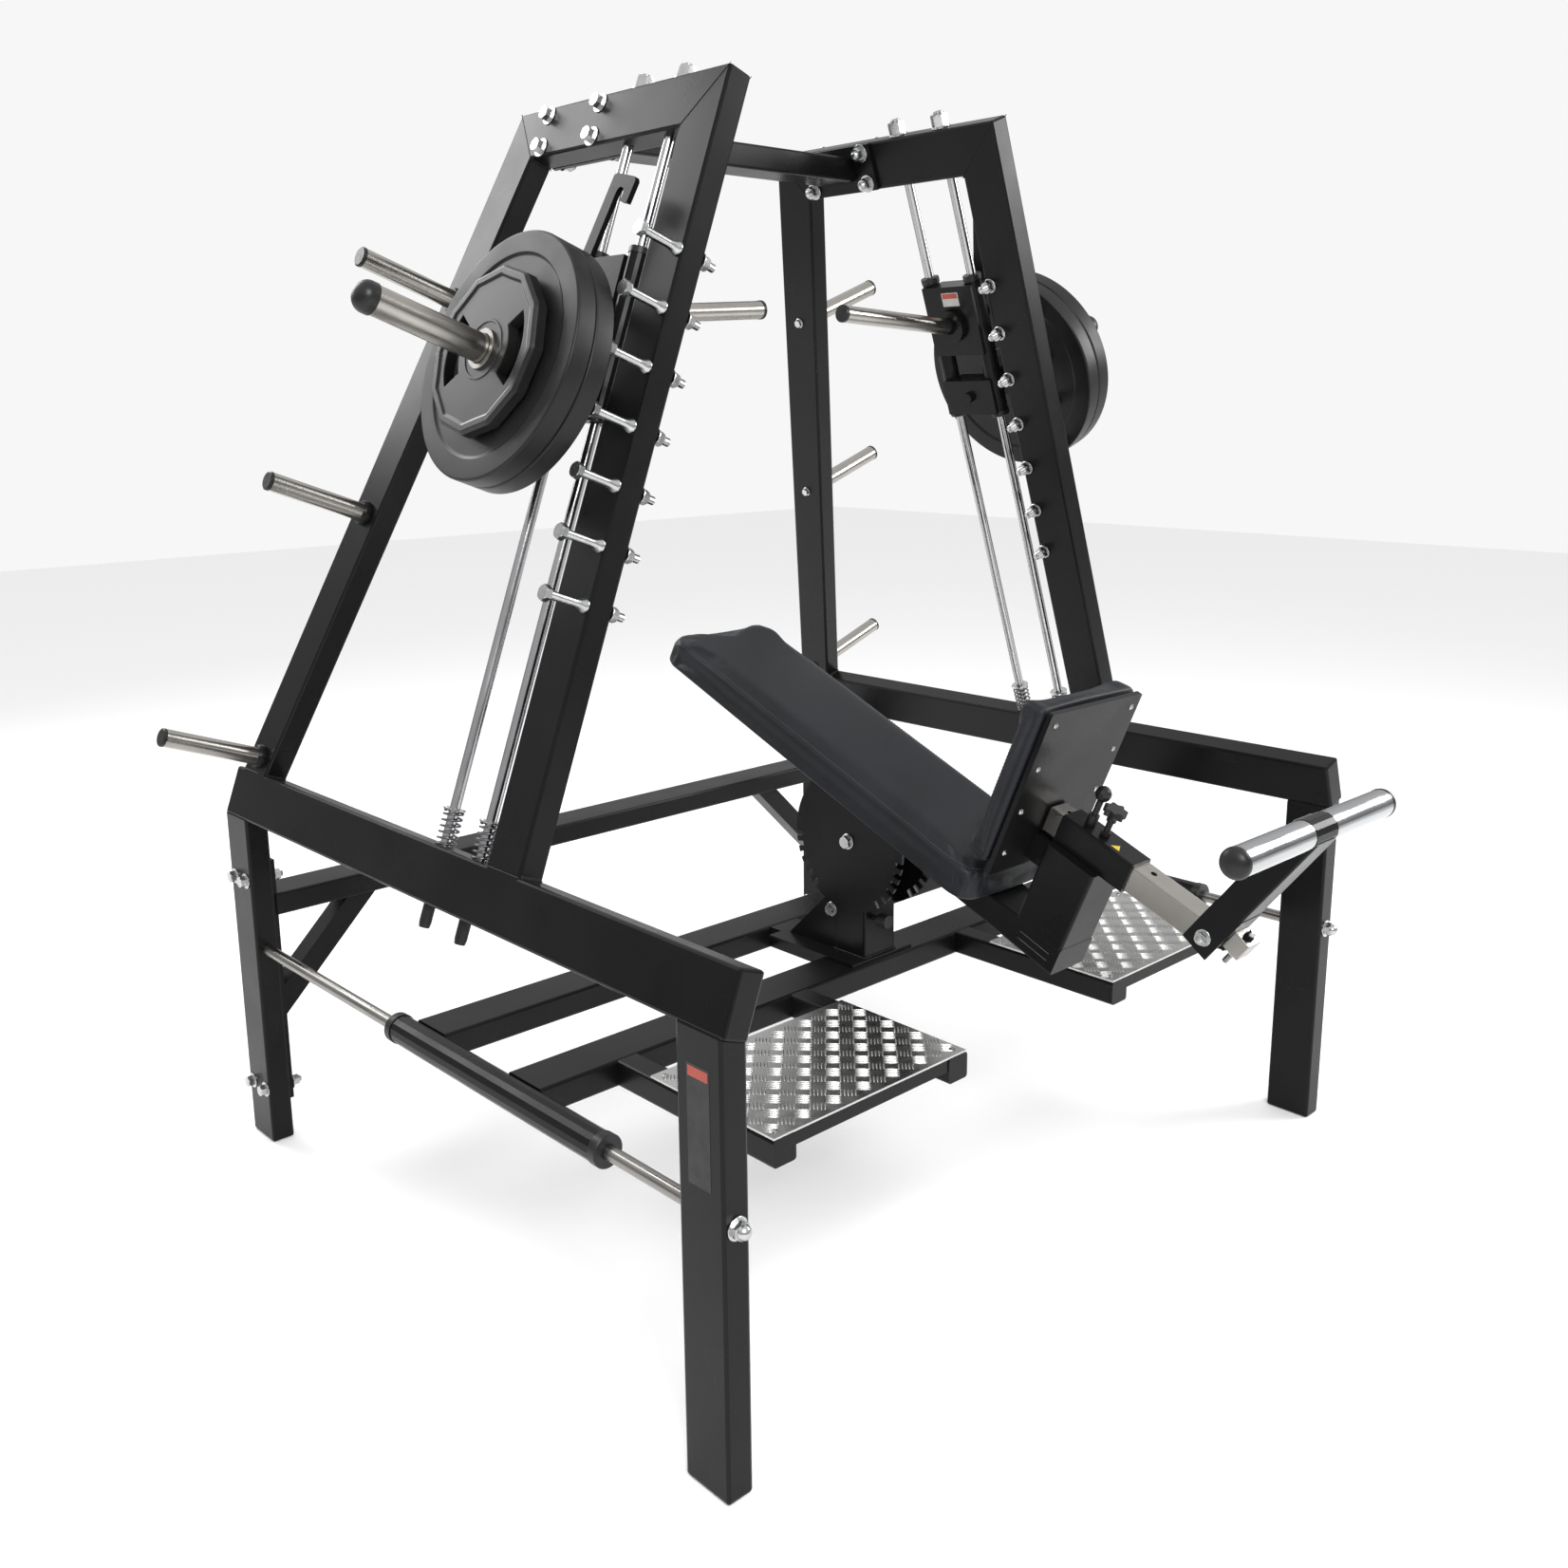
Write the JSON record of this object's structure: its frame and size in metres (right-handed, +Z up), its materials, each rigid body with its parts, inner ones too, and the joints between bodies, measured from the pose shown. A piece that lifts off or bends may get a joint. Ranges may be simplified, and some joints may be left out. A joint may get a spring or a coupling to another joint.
{
  "type": "plate-loaded press machine",
  "caption": "Plate-loaded gym press: two leaning frames with independent sliding carriages, and an adjustable incline bench with a foot bar on a rail sled.",
  "frame": {"origin": "on the floor under the middle of the machine's overall box", "axes": "+Z up, +Y to the rear, +X to the right as seen from the front with the front at -Y"},
  "size_m": [2.1374, 2.0606, 2.2046],
  "materials": {
    "powder_coat": "satin powder coat",
    "carriage_coat": "satin powder coat; bare steel sleeve",
    "handle_coat": "satin powder coat",
    "zinc_bolt": "bright zinc plate",
    "horn_steel": "brushed stainless, black caps",
    "guide_chrome": "ground and chromed",
    "spring_steel": "zinc-plated spring",
    "rail_steel": "ground steel bar",
    "tread_plate": "five-bar tread, mill finish",
    "disc_rubber": "matte rubber coat",
    "grip_rubber": "matte rubber coat",
    "roller_chrome": "polished chrome",
    "black_plastic": "satin",
    "black_vinyl": "upholstery vinyl, satin",
    "foot_tube_steel": "brushed stainless"
  },
  "bodies": {
    "base": {"side_frame_left": "powder_coat", "safety_peg_1_left": "zinc_bolt", "safety_peg_2_left": "zinc_bolt", "safety_peg_3_left": "zinc_bolt", "safety_peg_4_left": "zinc_bolt", "safety_peg_5_left": "zinc_bolt", "safety_peg_6_left": "zinc_bolt", "safety_peg_7_left": "zinc_bolt", "storage_horn_1_left": "horn_steel", "storage_horn_2_left": "horn_steel", "storage_horn_3_left": "horn_steel", "guide_rod_rear_left": "guide_chrome", "guide_rod_front_left": "guide_chrome", "bumper_spring_rear_left": "spring_steel", "bumper_spring_front_left": "spring_steel", "rail_left": "rail_steel", "side_frame_right": "powder_coat", "safety_peg_1_right": "zinc_bolt", "safety_peg_2_right": "zinc_bolt", "safety_peg_3_right": "zinc_bolt", "safety_peg_4_right": "zinc_bolt", "safety_peg_5_right": "zinc_bolt", "safety_peg_6_right": "zinc_bolt", "safety_peg_7_right": "zinc_bolt", "storage_horn_1_right": "horn_steel", "storage_horn_2_right": "horn_steel", "storage_horn_3_right": "horn_steel", "guide_rod_rear_right": "guide_chrome", "guide_rod_front_right": "guide_chrome", "bumper_spring_rear_right": "spring_steel", "bumper_spring_front_right": "spring_steel", "rail_right": "rail_steel", "top_crossbar": "powder_coat", "rear_cross_frame": "powder_coat"},
    "carriage_left": {"carriage_left": "carriage_coat"},
    "handle_left": {"handle_left": "handle_coat"},
    "plates_left": {"weight_disc_1_left": "disc_rubber", "weight_disc_2_left": "disc_rubber", "grip_plate_left": "grip_rubber"},
    "carriage_right": {"carriage_right": "carriage_coat"},
    "handle_right": {"handle_right": "handle_coat"},
    "plates_right": {"weight_disc_1_right": "disc_rubber", "weight_disc_2_right": "disc_rubber", "grip_plate_right": "grip_rubber"},
    "sled": {"sled": "powder_coat", "step_plate_left": "tread_plate", "step_plate_right": "tread_plate", "pedestal": "powder_coat"},
    "bench_lock_pin": {"bench_lock_pin": "black_plastic"},
    "bench": {"bench_frame": "powder_coat", "back_pad": "black_vinyl", "seat_pad": "black_vinyl"},
    "foot_pop_pin": {"foot_pop_pin": "black_plastic"},
    "star_knob": {"star_knob": "black_plastic"},
    "foot_tube": {"foot_tube": "foot_tube_steel"},
    "foot_arm": {"foot_arm": "powder_coat"},
    "foot_roller_left": {"foot_roller_left": "roller_chrome"},
    "foot_roller_right": {"foot_roller_right": "roller_chrome"}
  },
  "joints": [
    {"name": "carriage_left_slide", "type": "slide", "parent": "base", "child": "carriage_left", "axis": [0.3502, 0, 0.9367], "range_m": [-0.715, 0.205]},
    {"name": "handle_left_turn", "type": "hinge", "parent": "carriage_left", "child": "handle_left", "pos_m": [-0.51522, 0.14542, 1.79252], "axis": [0.9367, 0, -0.3502], "range_deg": [-10, 28]},
    {"name": "plates_left_spin", "type": "hinge", "parent": "carriage_left", "child": "plates_left", "pos_m": [-0.69477, 0.13942, 1.68349], "axis": [0.9367, 0, -0.3502], "continuous": true},
    {"name": "carriage_right_slide", "type": "slide", "parent": "base", "child": "carriage_right", "axis": [-0.3502, 0, 0.9367], "range_m": [-0.715, 0.205]},
    {"name": "handle_right_turn", "type": "hinge", "parent": "carriage_right", "child": "handle_right", "pos_m": [0.51522, 0.14542, 1.79252], "axis": [0.9367, 0, 0.3502], "range_deg": [-10, 28]},
    {"name": "plates_right_spin", "type": "hinge", "parent": "carriage_right", "child": "plates_right", "pos_m": [0.69477, 0.13942, 1.68349], "axis": [0.9367, 0, 0.3502], "continuous": true},
    {"name": "sled_slide", "type": "slide", "parent": "base", "child": "sled", "axis": [0, 1, 0], "range_m": [-0.205, 0.56]},
    {"name": "bench_lock_pull", "type": "slide", "parent": "sled", "child": "bench_lock_pin", "axis": [0, -1, 0], "range_m": [0, 0.012], "stiffness_N_per_m": 600},
    {"name": "bench_tilt", "type": "hinge", "parent": "sled", "child": "bench", "pos_m": [0, -0.03358, 0.729], "axis": [1, 0, 0], "range_deg": [-22.5, 22.5]},
    {"name": "foot_pop_pull", "type": "slide", "parent": "bench", "child": "foot_pop_pin", "axis": [0, -0.3827, 0.9239], "range_m": [0, 0.012], "stiffness_N_per_m": 600},
    {"name": "star_knob_turn", "type": "hinge", "parent": "bench", "child": "star_knob", "pos_m": [0, -0.61442, 0.8456], "axis": [0, -0.3827, 0.9239], "range_deg": [0, 360]},
    {"name": "foot_tube_slide", "type": "slide", "parent": "bench", "child": "foot_tube", "axis": [0, -0.9239, -0.3827], "range_m": [0, 0.15]},
    {"name": "foot_arm_tilt", "type": "hinge", "parent": "foot_tube", "child": "foot_arm", "pos_m": [0, -0.84127, 0.73215], "axis": [1, 0, 0], "range_deg": [-40, 0]},
    {"name": "foot_roller_left_spin", "type": "hinge", "parent": "foot_arm", "child": "foot_roller_left", "pos_m": [-0.132, -1.00442, 0.94477], "axis": [1, 0, 0], "continuous": true},
    {"name": "foot_roller_right_spin", "type": "hinge", "parent": "foot_arm", "child": "foot_roller_right", "pos_m": [0.132, -1.00442, 0.94477], "axis": [1, 0, 0], "continuous": true}
  ]
}
